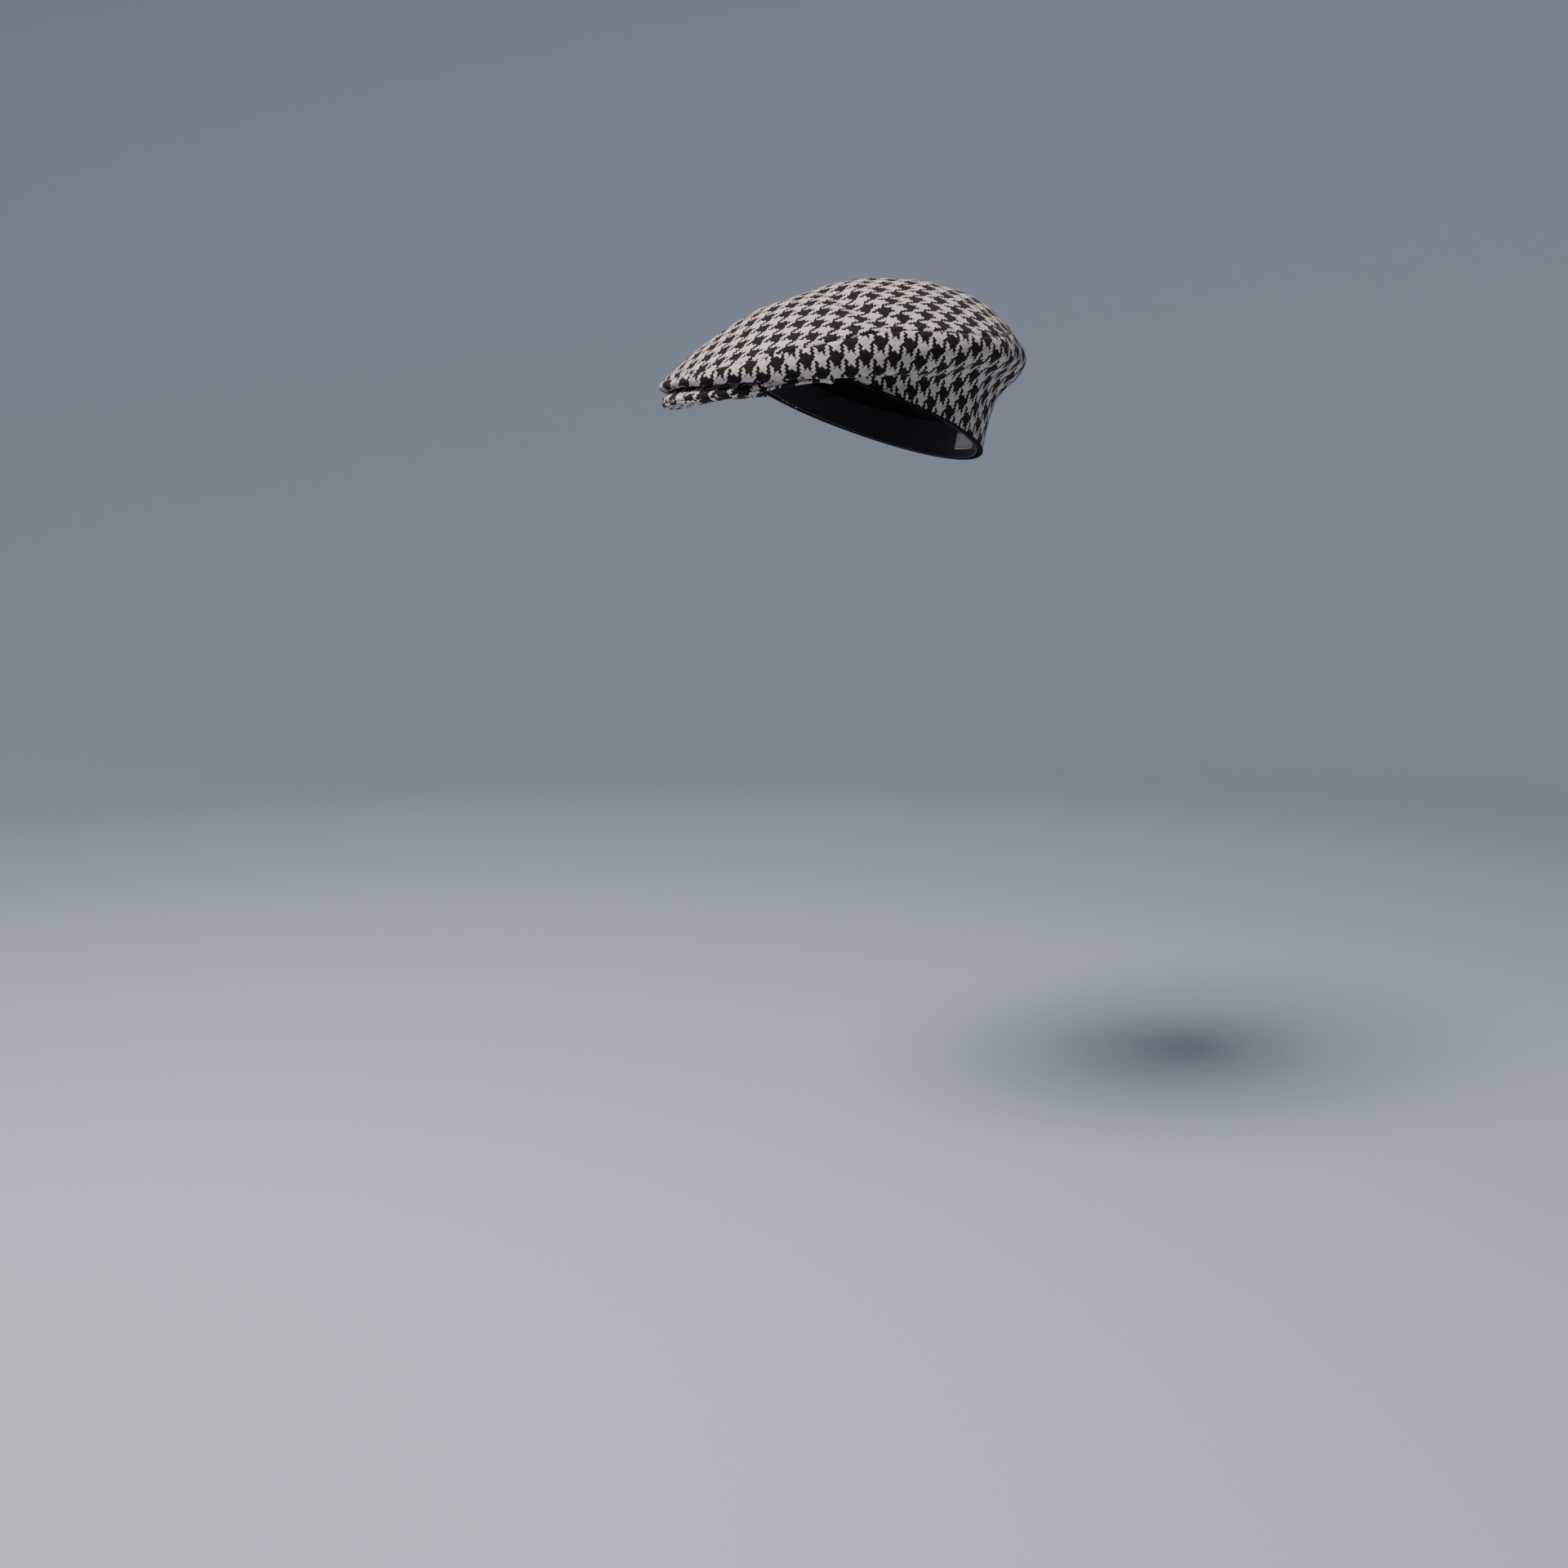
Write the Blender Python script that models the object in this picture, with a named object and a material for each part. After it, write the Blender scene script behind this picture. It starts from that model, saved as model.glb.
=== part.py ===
"""Flat cap of wool cloth with a stiffened brim, as a set of separate sewn pieces.

The cap stands as it is worn: +Z is up, the brim points to -Y and the wearer's left is +X.
The origin is the centre of the head opening, whose plane is tilted back, front edge up.
Angles run round the head from the centre front (0) over the wearer's left to the centre back (180 degrees).
"""

import functools
import math

import bmesh
import bpy
import numpy as np

MM = 0.001
GAP = 0.3 * MM
SEAM_HALF_GAP = 0.2 * MM

# Each ring of the crown is given at five angles: front, front quarter, side, rear quarter, back.
# "out" is the distance from the vertical axis through the origin, "up" the height, both in millimetres.
HEM = {"out": (99, 90, 84, 93, 101), "up": (36, 23, 0, -23, -36)}
TUCK = {"out": (101, 92, 88, 100, 110), "up": (41, 28, 19, 7, 3)}
FOLD = {"out": (151, 124, 100, 107, 113), "up": (10, 12.5, 20, 18, 9)}
BULGE = {"out": (156, 128, 110, 125, 132), "up": (13.5, 21, 33, 36, 37)}
SEAM = {"out": (152, 125, 107, 119, 115), "up": (18.5, 33, 48, 51, 68)}
APEX = np.array((0.0, 24.0, 97.0))
DOME_SHARES = (0.12, 0.3, 0.5, 0.68, 0.84, 0.94)
DOME_POWER_FRONT = 2.15
DOME_POWER_BACK = 2.95

# The lining hangs inside the cloth and cuts across the overhanging fold.
LINING_HEM = {"out": (97, 88, 82, 91, 99.4), "up": (41.5, 28.5, 6, -17, -30)}
LINING_TUCK = {"out": (99, 90, 86, 97.5, 107.5), "up": (46, 33, 23.5, 8, 4)}
LINING_BULGE = {"out": (140, 118, 102, 117, 124), "up": (22, 26, 34, 37, 37)}
LINING_SEAM = {"out": (136, 115, 99.5, 111, 107), "up": (28, 35, 45, 49, 63)}
LINING_APEX = np.array((0.0, 22.0, 91.5))
CROWN_RINGS = {
    "cloth": ((SEAM, BULGE, FOLD, TUCK, HEM), APEX),
    "lining": ((LINING_SEAM, LINING_BULGE, LINING_TUCK, LINING_HEM), LINING_APEX),
}

SWEATBAND_FOOT = {"out": (95.4, 86.4, 80.4, 89.4, 97.4), "up": (36.5, 23.5, 0.5, -22.5, -35.5)}
SWEATBAND_TOP = {"out": (90, 84, 82.5, 93, 103.5), "up": (55, 45, 25, 4, -7)}

CLOTH = 1.5 * MM
INTERLINING = 1.0 * MM
LINING = 0.5 * MM
BAND = 1.2 * MM
TAPE = 0.4 * MM
BINDING = 0.7 * MM
BINDING_HEIGHT = 3.0 * MM
BINDING_EASE = 0.8 * MM

BRIM_REAR_ANGLE = 56.0
BRIM_FROM_HEM = 4.5
BRIM_BELOW_HEM = 3.5
BRIM_HALF_WIDTH = 78.0
BRIM_CORNER_Y = -46.0
BRIM_REACH = 109.0
BRIM_SQUARENESS = 0.8
BRIM_TIP_UP = 1.5
BRIM_CORNER_RISE = 15.0
BRIM_SPAN = 0.97
BRIM_BOARD = 2.0 * MM
BRIM_BOARD_MARGIN = 0.05
BRIM_BOARD_BACK = 0.06
BRIM_BOARD_FRONT = 0.95
BRIM_HINGE = (0.0, -72.0 * MM, 22.0 * MM)

STUD_ALONG_BRIM = 0.33
STUD_RADIUS = 6.0 * MM
STUD_POST_RADIUS = 1.9 * MM
STUD_TIP_RADIUS = 1.4 * MM
STUD_BASE_HEIGHT = 0.5 * MM
STUD_POST_HEIGHT = 1.1 * MM
STUD_HEIGHT = 1.4 * MM
SOCKET_HOLE_RADIUS = 2.9 * MM
SOCKET_HEIGHT = 0.8 * MM
SOCKET_GAP = 0.8 * MM
SOCKET_REACH = 12.0 * MM
UNDERSIDE_START = 0.15
UNDERSIDE_END = 0.95
UNDERSIDE_STEPS = 400
ROUND_SIDES = 20

LABEL_HALF_ANGLE = 8.0
LABEL_LOW = 0.3
LABEL_HIGH = 0.75
TAPE_HALF_ANGLE = 2.6
TAPE_ROWS = slice(1, 7)

RING_STEPS = 48
SIDE_STEPS = 26
SIDE_ROWS = 12
TOP_ROWS = (0.0, 0.15, 0.32, 0.5, 0.66, 0.8, 0.9, 0.96, 1.0)
SPLINE_STEPS = 16
FULL_TURN = 2 * math.pi
STEP = 1e-3

WOOL = ((0.10, 0.095, 0.09), 0.95, 0.0)
SATIN = ((0.05, 0.05, 0.055), 0.45, 0.0)
FELT = ((0.55, 0.53, 0.5), 0.95, 0.0)
BLACK_RIB = ((0.05, 0.035, 0.03), 0.55, 0.0)
BLACK_TAPE = ((0.02, 0.02, 0.02), 0.8, 0.0)
BOARD = ((0.6, 0.55, 0.45), 0.7, 0.0)
LABEL = ((0.75, 0.72, 0.66), 0.6, 0.0)
STEEL = ((0.35, 0.34, 0.32), 0.35, 1.0)


def clear_scene():
    for thing in list(bpy.data.objects):
        bpy.data.objects.remove(thing, do_unlink=True)


def material(name, look):
    colour, roughness, metallic = look
    made = bpy.data.materials.new(name)
    made.use_nodes = True
    shader = made.node_tree.nodes["Principled BSDF"]
    shader.inputs["Base Color"].default_value = (*colour, 1.0)
    shader.inputs["Roughness"].default_value = roughness
    shader.inputs["Metallic"].default_value = metallic
    return made


def even_series(values, angle):
    """A smooth left-right symmetric function of the angle through five evenly spaced values."""
    orders = np.arange(len(values))
    table = np.cos(np.outer(orders * math.pi / (len(values) - 1), orders))
    factors = np.linalg.solve(table, np.array(values, float))
    return float(np.dot(factors, np.cos(orders * angle)))


def ring_point(ring, angle):
    out = even_series(ring["out"], angle)
    return np.array((out * math.sin(angle), -out * math.cos(angle), even_series(ring["up"], angle)))


def dome_point(rim, apex, angle, share):
    """A point of the top between the apex (share 0) and its rim (share 1)."""
    edge = ring_point(rim, angle)
    backness = (1 - math.cos(angle)) / 2
    power = DOME_POWER_FRONT + (DOME_POWER_BACK - DOME_POWER_FRONT) * backness
    point = apex + (edge - apex) * share
    point[2] = apex[2] + (edge[2] - apex[2]) * share ** power
    return point


def between(near, far, start, end, time):
    share = (time - start) / (end - start)
    return near * (1 - share) + far * share


def smooth_path(knots):
    """Points of a centripetal Catmull-Rom curve through the knots, with even steps between two knots."""
    knots = [2 * knots[0] - knots[1], *knots, 2 * knots[-1] - knots[-2]]
    times = [0.0]
    for near, far in zip(knots, knots[1:]):
        times.append(times[-1] + math.sqrt(max(np.linalg.norm(far - near), 1e-6)))
    rows = []
    for i in range(1, len(knots) - 2):
        for time in np.linspace(times[i], times[i + 1], SPLINE_STEPS, endpoint=False):
            first = [between(knots[i - 1 + k], knots[i + k], times[i - 1 + k], times[i + k], time)
                     for k in range(3)]
            second = [between(first[k], first[k + 1], times[i - 1 + k], times[i + 1 + k], time)
                      for k in range(2)]
            rows.append(between(second[0], second[1], times[i], times[i + 1], time))
    rows.append(knots[-2])
    return np.array(rows)


@functools.lru_cache(maxsize=None)
def crown_path(kind, angle):
    """The path of the cloth or the lining from apex to hem at one angle, its lengths and the seam's length."""
    rings, apex = CROWN_RINGS[kind]
    rim = rings[0]
    knots = [apex]
    knots += [dome_point(rim, apex, angle, share) for share in DOME_SHARES]
    knots += [ring_point(ring, angle) for ring in rings]
    path = smooth_path(knots) * MM
    lengths = np.concatenate(([0.0], np.cumsum(np.linalg.norm(np.diff(path, axis=0), axis=1))))
    seam_length = lengths[(len(DOME_SHARES) + 1) * SPLINE_STEPS]
    return path, lengths, seam_length


def zone_point(kind, zone, angle, share):
    path, lengths, seam_length = crown_path(kind, angle)
    if zone == "top":
        wanted = share * (seam_length - SEAM_HALF_GAP)
    else:
        start = seam_length + SEAM_HALF_GAP
        wanted = start + share * (lengths[-1] - start)
    return np.array([np.interp(wanted, lengths, path[:, axis]) for axis in range(3)])


def crown(zone):
    return functools.partial(zone_point, "cloth", zone)


def lining(zone):
    return functools.partial(zone_point, "lining", zone)


def sweatband_surface(angle, share):
    foot = ring_point(SWEATBAND_FOOT, angle)
    top = ring_point(SWEATBAND_TOP, angle)
    return (top + (foot - top) * share) * MM


def brim_outline(across):
    """The brim's free edge, from its right rear corner (-1) to its left rear corner (1)."""
    angle = across * math.pi / 2
    ahead = max(math.cos(angle), 0.0) ** BRIM_SQUARENESS
    up = BRIM_TIP_UP + BRIM_CORNER_RISE * math.sin(angle) ** 6
    return np.array((BRIM_HALF_WIDTH * math.sin(angle), BRIM_CORNER_Y - BRIM_REACH * ahead, up))


def brim_root(across):
    """The brim's sewn edge, which follows the front of the head opening."""
    angle = across * math.radians(BRIM_REAR_ANGLE)
    hem = ring_point(HEM, angle)
    outward = np.array((math.sin(angle), -math.cos(angle), 0.0))
    return hem + outward * BRIM_FROM_HEM - np.array((0.0, 0.0, BRIM_BELOW_HEM))


def brim_surface(across, along):
    """A point of the brim's middle surface, from the sewn edge (0) to the free edge (1)."""
    root = brim_root(across * BRIM_SPAN)
    edge = brim_outline(across * BRIM_SPAN)
    return (root + (edge - root) * along) * MM


def surface_normal(surface, across, along):
    """The direction away from the head, or upwards on the brim."""
    low = max(along - STEP, 0.0)
    high = min(along + STEP, 1.0)
    slope_along = surface(across, high) - surface(across, low)
    slope_across = surface(across + STEP, along) - surface(across - STEP, along)
    normal = np.cross(slope_along, slope_across)
    return normal / np.linalg.norm(normal)


def new_object(name, mesh, look, parent):
    made = bpy.data.objects.new(name, mesh)
    bpy.context.scene.collection.objects.link(made)
    made.data.materials.append(look)
    made.parent = parent
    made.location = -parent.location
    return made


def finished_mesh(name, build):
    bmesh.ops.recalc_face_normals(build, faces=build.faces)
    if build.calc_volume(signed=True) < 0:
        bmesh.ops.reverse_faces(build, faces=build.faces)
    mesh = bpy.data.meshes.new(name)
    build.to_mesh(mesh)
    build.free()
    mesh.shade_smooth()
    mesh.set_sharp_from_angle(angle=math.radians(40))
    return mesh


def layer(name, surface, across, along, depths, wraps, look, parent):
    """A sheet of even thickness between two depths below a surface, both along its normals."""
    build = bmesh.new()
    pole = along[0] == 0.0 and np.linalg.norm(surface(across[0], 0.0) - surface(across[1], 0.0)) < 1e-9
    skins = []
    for depth in depths:
        skin = []
        for row, share in enumerate(along):
            if pole and row == 0:
                tip = surface(0.0, 0.0) - np.array((0.0, 0.0, depth))
                skin.append([build.verts.new(tip)] * len(across))
                continue
            skin.append([build.verts.new(surface(a, share) - surface_normal(surface, a, share) * depth)
                         for a in across])
        skins.append(skin)
    columns = len(across) if wraps else len(across) - 1
    for skin in skins:
        for row in range(len(along) - 1):
            for column in range(columns):
                after = (column + 1) % len(across)
                corners = (skin[row][column], skin[row][after], skin[row + 1][after], skin[row + 1][column])
                build.faces.new(list(dict.fromkeys(corners)))
    close_edges(build, skins, columns, len(across), pole, wraps)
    mesh = finished_mesh(name, build)
    return new_object(name, mesh, look, parent)


def close_edges(build, skins, columns, count, pole, wraps):
    outer, inner = skins
    ends = [-1] if pole else [0, -1]
    for row in ends:
        for column in range(columns):
            after = (column + 1) % count
            build.faces.new((outer[row][column], outer[row][after], inner[row][after], inner[row][column]))
    if wraps:
        return
    for column in (0, count - 1):
        for row in range(len(outer) - 1):
            corners = (outer[row][column], outer[row + 1][column], inner[row + 1][column], inner[row][column])
            build.faces.new(corners)


def full_ring():
    return [FULL_TURN * step / RING_STEPS for step in range(RING_STEPS)]


def half_ring(side):
    margin = SEAM_HALF_GAP / (HEM["out"][0] * MM)
    return [side * angle for angle in np.linspace(margin, math.pi - margin, SIDE_STEPS)]


def rows(count, start=0.0, end=1.0):
    return list(np.linspace(start, end, count))


def make_crown(look, parent):
    layer("crown_top_panel", crown("top"), full_ring(), TOP_ROWS, (0.0, CLOTH), True, look["wool"], parent)
    for side, word in ((1, "left"), (-1, "right")):
        layer(f"side_panel_{word}", crown("side"), half_ring(side), rows(SIDE_ROWS), (0.0, CLOTH),
              False, look["wool"], parent)
    felt_depths = (CLOTH + 2 * GAP, CLOTH + 2 * GAP + INTERLINING)
    layer("crown_interlining", crown("top"), full_ring(), TOP_ROWS[:-1], felt_depths, True,
          look["felt"], parent)


def make_lining(look, parent):
    layer("lining_top", lining("top"), full_ring(), rows(7), (0.0, LINING), True, look["satin"], parent)
    for side, word in ((1, "left"), (-1, "right")):
        layer(f"lining_side_{word}", lining("side"), half_ring(side), rows(8), (0.0, LINING),
              False, look["satin"], parent)


def make_band(look, parent):
    layer("sweatband", sweatband_surface, full_ring(), rows(4), (0.0, BAND), True,
          look["band"], parent)
    label_angles = np.radians(np.linspace(180 - LABEL_HALF_ANGLE, 180 + LABEL_HALF_ANGLE, 7))
    label_depths = (BAND + GAP, BAND + GAP + TAPE)
    layer("size_label", sweatband_surface, label_angles, rows(3, LABEL_LOW, LABEL_HIGH), label_depths,
          False, look["label"], parent)
    tape_angles = np.radians(np.linspace(180 - TAPE_HALF_ANGLE, 180 + TAPE_HALF_ANGLE, 4))
    tape_top = CLOTH + 2 * GAP
    layer("back_seam_tape", crown("side"), tape_angles, rows(SIDE_ROWS)[TAPE_ROWS], (tape_top, tape_top + TAPE),
          False, look["tape"], parent)


def make_hem_binding(look, parent):
    """A folded tape whose two leaves hold the cloth's lower edge between them."""
    outer = BINDING_EASE
    inner = CLOTH + BINDING_EASE
    section = ((outer, BINDING_HEIGHT), (outer + BINDING, BINDING_HEIGHT), (outer + BINDING, -outer - BINDING),
               (-inner - BINDING, -outer - BINDING), (-inner - BINDING, BINDING_HEIGHT),
               (-inner, BINDING_HEIGHT), (-inner, -outer), (outer, -outer))
    surface = crown("side")
    build = bmesh.new()
    loops = []
    for angle in full_ring():
        foot = surface(angle, 1.0)
        rise = surface(angle, rows(SIDE_ROWS)[-2]) - foot
        rise /= np.linalg.norm(rise)
        outward = surface_normal(surface, angle, 1.0)
        outward -= rise * np.dot(outward, rise)
        outward /= np.linalg.norm(outward)
        loops.append([build.verts.new(foot + outward * out + rise * up) for out, up in section])
    for near, far in zip(loops, loops[1:] + loops[:1]):
        for k in range(len(section)):
            after = (k + 1) % len(section)
            build.faces.new((near[k], near[after], far[after], far[k]))
    new_object("hem_binding", finished_mesh("hem_binding", build), look["tape"], parent)


def make_brim(look, parent):
    across = rows(27, -1.0, 1.0)
    inside = rows(25, -1.0 + BRIM_BOARD_MARGIN, 1.0 - BRIM_BOARD_MARGIN)
    half = BRIM_BOARD / 2
    layer("brim_board", brim_surface, inside, rows(5, BRIM_BOARD_BACK, BRIM_BOARD_FRONT), (-half, half), False,
          look["board"], parent)
    layer("brim_top_cover", brim_surface, across, rows(6), (-half - GAP - CLOTH, -half - GAP), False,
          look["wool"], parent)
    layer("brim_under_cover", brim_surface, across, rows(6), (half + GAP, half + GAP + CLOTH), False,
          look["wool"], parent)


def ring_of_points(build, centre, side, ahead, radius):
    ring = []
    for step in range(ROUND_SIDES):
        turn = FULL_TURN * step / ROUND_SIDES
        ring.append(build.verts.new(centre + (side * math.cos(turn) + ahead * math.sin(turn)) * radius))
    return ring


def turned(name, centre, axis, outline, look, parent):
    """A round piece: each outline entry is a radius and a height along the axis, the last joins the first."""
    build = bmesh.new()
    side = np.array((1.0, 0.0, 0.0))
    ahead = np.cross(axis, side)
    closed_ring = outline[0][0] > 0.0
    rings = [ring_of_points(build, centre + axis * height, side, ahead, radius)
             for radius, height in outline if radius > 0.0]
    pairs = list(zip(rings, rings[1:] + rings[:1])) if closed_ring else list(zip(rings, rings[1:]))
    for near, far in pairs:
        for k in range(ROUND_SIDES):
            after = (k + 1) % ROUND_SIDES
            build.faces.new((near[k], near[after], far[after], far[k]))
    if not closed_ring:
        build.faces.new(rings[0])
        build.faces.new(rings[-1])
    new_object(name, finished_mesh(name, build), look, parent)


def crown_underside_distance(point, axis):
    """How far the crown's underside lies from a point on the brim, along the brim's normal."""
    surface = crown("side")
    found = []
    for share in np.linspace(UNDERSIDE_START, UNDERSIDE_END, UNDERSIDE_STEPS):
        offset = surface(0.0, share) - point
        height = np.dot(offset, axis)
        sideways = np.linalg.norm(offset - axis * height)
        if 0 < height < SOCKET_REACH:
            found.append((sideways, height))
    return min(found)[1]


def make_press_stud(look, crown_parent, brim_parent):
    seat = brim_surface(0.0, STUD_ALONG_BRIM)
    axis = surface_normal(brim_surface, 0.0, STUD_ALONG_BRIM)
    base = BRIM_BOARD / 2 + GAP + CLOTH + GAP
    shoulder = base + STUD_BASE_HEIGHT
    ball = ((0.0, base), (STUD_RADIUS, base), (STUD_RADIUS, shoulder), (STUD_POST_RADIUS, shoulder),
            (STUD_POST_RADIUS, shoulder + STUD_POST_HEIGHT), (STUD_TIP_RADIUS, shoulder + STUD_HEIGHT),
            (0.0, shoulder + STUD_HEIGHT))
    turned("press_stud_ball", seat, axis, ball, look["steel"], brim_parent)
    roof = crown_underside_distance(seat, axis) - SOCKET_GAP
    socket = ((SOCKET_HOLE_RADIUS, roof), (SOCKET_HOLE_RADIUS, roof - SOCKET_HEIGHT),
              (STUD_RADIUS, roof - SOCKET_HEIGHT), (STUD_RADIUS, roof))
    turned("press_stud_socket", seat, axis, socket, look["steel"], crown_parent)


def anchor(name, location):
    made = bpy.data.objects.new(name, None)
    made.location = location
    bpy.context.scene.collection.objects.link(made)
    return made


def main():
    clear_scene()
    look = {
        "wool": material("houndstooth_wool", WOOL),
        "satin": material("satin_lining", SATIN),
        "felt": material("felt_interlining", FELT),
        "band": material("sweatband_cloth", BLACK_RIB),
        "tape": material("woven_tape", BLACK_TAPE),
        "board": material("brim_board", BOARD),
        "label": material("blank_label", LABEL),
        "steel": material("stud_steel", STEEL),
    }
    crown_parent = anchor("crown_centre", (0.0, 0.0, 0.0))
    brim_parent = anchor("brim_hinge_axis", BRIM_HINGE)
    make_crown(look, crown_parent)
    make_lining(look, crown_parent)
    make_band(look, crown_parent)
    make_hem_binding(look, crown_parent)
    make_brim(look, brim_parent)
    make_press_stud(look, crown_parent, brim_parent)
    bpy.context.view_layer.update()


main()
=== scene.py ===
"""Looks of a houndstooth flat cap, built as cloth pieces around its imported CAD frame.

The frame is the cap as worn: +Z up, brim to -Y and the wearer's left to +X. The origin is at the centre
of the head opening.
Angles run round the head from the centre front (0) over the wearer's left to the centre back (pi).
"""
import math

import bmesh
import bpy
import numpy as np
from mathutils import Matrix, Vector


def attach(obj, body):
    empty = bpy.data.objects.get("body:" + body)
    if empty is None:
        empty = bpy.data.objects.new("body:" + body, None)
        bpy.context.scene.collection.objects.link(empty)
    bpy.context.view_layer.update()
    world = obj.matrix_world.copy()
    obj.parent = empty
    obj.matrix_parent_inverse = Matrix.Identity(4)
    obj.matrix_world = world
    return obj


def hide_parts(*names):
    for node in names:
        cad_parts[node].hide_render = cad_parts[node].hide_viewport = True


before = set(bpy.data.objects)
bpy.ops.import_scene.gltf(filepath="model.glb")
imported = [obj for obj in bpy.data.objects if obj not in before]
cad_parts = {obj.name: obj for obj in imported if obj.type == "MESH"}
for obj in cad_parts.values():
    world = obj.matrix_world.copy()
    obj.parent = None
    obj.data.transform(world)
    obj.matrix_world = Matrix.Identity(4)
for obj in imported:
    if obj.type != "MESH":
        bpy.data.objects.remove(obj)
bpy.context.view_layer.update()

MM = 0.001
FULL_TURN = 2 * math.pi

# The crown's rings, in millimetres, at the front, front quarter, side, rear quarter and back.
HEM = {"out": (99, 90, 84, 93, 101), "up": (36, 23, 0, -23, -36)}
TUCK = {"out": (101, 92, 88, 100, 110), "up": (41, 28, 19, 7, 3)}
FOLD = {"out": (151, 124, 100, 107, 113), "up": (10, 12.5, 20, 18, 9)}
BULGE = {"out": (156, 128, 110, 125, 132), "up": (13.5, 21, 33, 36, 37)}
SEAM = {"out": (152, 125, 107, 119, 115), "up": (18.5, 33, 48, 51, 68)}
APEX = np.array((0.0, 24.0, 97.0))
LINING_HEM = {"out": (97, 88, 82, 91, 99.4), "up": (41.5, 28.5, 6, -17, -30)}
LINING_TUCK = {"out": (99, 90, 86, 97.5, 107.5), "up": (46, 33, 23.5, 8, 4)}
LINING_BULGE = {"out": (140, 118, 102, 117, 124), "up": (22, 26, 34, 37, 37)}
LINING_SEAM = {"out": (136, 115, 99.5, 111, 107), "up": (28, 35, 45, 49, 63)}
LINING_APEX = np.array((0.0, 22.0, 91.5))
SWEATBAND_FOOT = {"out": (95.4, 86.4, 80.4, 89.4, 97.4), "up": (36.5, 23.5, 0.5, -22.5, -35.5)}
SWEATBAND_TOP = {"out": (90, 84, 82.5, 93, 103.5), "up": (55, 45, 25, 4, -7)}
CROWN_RINGS = {
    "cloth": ((SEAM, BULGE, FOLD, TUCK, HEM), APEX),
    "lining": ((LINING_SEAM, LINING_BULGE, LINING_TUCK, LINING_HEM), LINING_APEX),
}
DOME_SHARES = (0.12, 0.3, 0.5, 0.68, 0.84, 0.94)
DOME_POWER_FRONT = 2.15
DOME_POWER_BACK = 2.95
SPLINE_STEPS = 16

CLOTH = 1.5 * MM
GAP = 0.3 * MM
INTERLINING = 1.0 * MM
LINING = 0.5 * MM
BAND = 1.2 * MM
BINDING = 0.5 * MM
BINDING_OUTER_HEIGHT = 1.1 * MM
BINDING_INNER_HEIGHT = 3.0 * MM
BINDING_EASE = 0.2 * MM
TAPE_HALF_ANGLE = 2.6
TAPE_START = 1 / 11
TAPE_END = 6 / 11
TAPE = 0.4 * MM
LABEL_HALF_ANGLE = 8.5
LABEL_SHARES = (0.28, 0.76)
LABEL_LIFT = 0.55 * MM
LABEL = 0.35 * MM
LABEL_HEIGHT = 0.0135
THREAD_RADIUS = 0.28 * MM
THREAD_SIDES = 6

BRIM_REAR_ANGLE = 56.0
BRIM_FROM_HEM = 4.5
BRIM_BELOW_HEM = 3.5
BRIM_HALF_WIDTH = 78.0
BRIM_CORNER_Y = -46.0
BRIM_REACH = 109.0
BRIM_SQUARENESS = 0.8
BRIM_TIP_UP = 1.5
BRIM_CORNER_RISE = 15.0
BRIM_HALF_THICKNESS = 2.8 * MM
BRIM_COVER = 0.8 * CLOTH
BRIM_SPAN = 0.97
BRIM_FLAT_END = 0.97
BRIM_EDGE_SEAM_ANGLE = 128
BRIM_SEAM_SINK = 0.22
BRIM_FLANGE_HEIGHTS = (3.2, 2.4, 1.6, 0.8)

YARN_PITCH = 1.875 * MM
YARNS_PER_COLOUR = 4
TWILL_PHASE = 2
DARK_SPREAD = 0.4
SIDE_GRAIN_TURN = math.radians(9.0)
YARN_SWAY = 0.85
SWAY_SCALE = 480.0
FIBRE_SCALE = 2.6
FIBRE_STRETCH = 0.22
FUZZ_SCALE = 2600.0

RING_STEPS = 320
PANEL_STEPS = 161
TOP_STEPS = 100
SIDE_STEPS = 84
LINING_STEPS = 40
BAND_STEPS = 24
TAPE_STEPS = 24
LABEL_STEPS = 12
SEAM_MARGIN = 0.0002


# ---------------------------------------------------------------- shape of the crown

def even_series(values, angles):
    """Smooth left-right symmetric values at the angles, through five evenly spaced ones."""
    orders = np.arange(len(values))
    table = np.cos(np.outer(orders * math.pi / (len(values) - 1), orders))
    factors = np.linalg.solve(table, np.array(values, float))
    return np.cos(np.outer(angles, orders)) @ factors


def ring_points(ring, angles):
    out = even_series(ring["out"], angles)
    return np.stack((out * np.sin(angles), -out * np.cos(angles), even_series(ring["up"], angles)), -1)


def dome_points(rim, apex, angles, share):
    edge = ring_points(rim, angles)
    backness = (1 - np.cos(angles)) / 2
    power = DOME_POWER_FRONT + (DOME_POWER_BACK - DOME_POWER_FRONT) * backness
    points = apex + (edge - apex) * share
    points[:, 2] = apex[2] + (edge[:, 2] - apex[2]) * share ** power
    return points


def between(near, far, start, end, time):
    share = (time - start) / (end - start)
    return near * (1 - share) + far * share


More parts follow.
